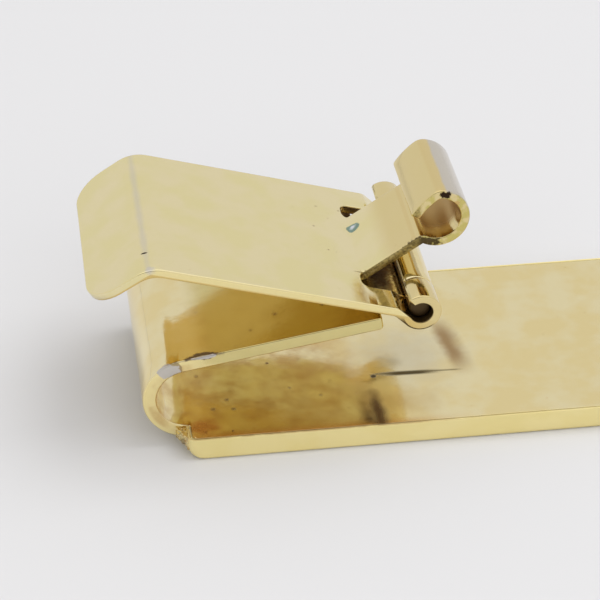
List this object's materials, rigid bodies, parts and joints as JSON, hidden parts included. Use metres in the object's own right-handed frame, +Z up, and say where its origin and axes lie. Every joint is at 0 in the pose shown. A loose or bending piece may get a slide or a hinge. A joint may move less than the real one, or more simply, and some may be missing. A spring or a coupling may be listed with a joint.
{
  "type": "money clip",
  "caption": "Gold-toned spring money clip: a flat base, a U-shaped spring leaf and a hinged lever whose rolled nose clamps folded notes.",
  "frame": {"origin": "middle of the base's underside, on the face that rests on a table", "axes": "+X along the base, away from the spring bend; +Z up, from the underside towards the lever; +Y across the base"},
  "size_m": [0.0582, 0.0222, 0.0196],
  "materials": {
    "shell_gold": "polished pale gold plate",
    "strip_gold": "polished pale gold plate, worn at the bend",
    "lever_gold": "polished pale gold plate with fine pits",
    "pin_gold": "dull gold",
    "braze": "rough dull gold"
  },
  "bodies": {
    "base": {"face_shell": "shell_gold", "spring_foot": "strip_gold", "spring_bend": "strip_gold", "braze_beads": "braze"},
    "leaf": {"spring_arm": "strip_gold", "hinge_pin": "pin_gold"},
    "lever": {"lever": "lever_gold"}
  },
  "joints": [
    {"name": "leaf_flex", "type": "hinge", "parent": "base", "child": "leaf", "pos_m": [-0.02504, 0, 0.00471], "axis": [0, -1, 0], "range_deg": [0, 5], "stiffness_Nm_per_rad": 0.5, "deforming": ["spring_bend"]},
    {"name": "lever_hinge", "type": "hinge", "parent": "leaf", "child": "lever", "pos_m": [-0.00632, 0, 0.01133], "axis": [0, 1, 0], "range_deg": [0, 188]}
  ]
}
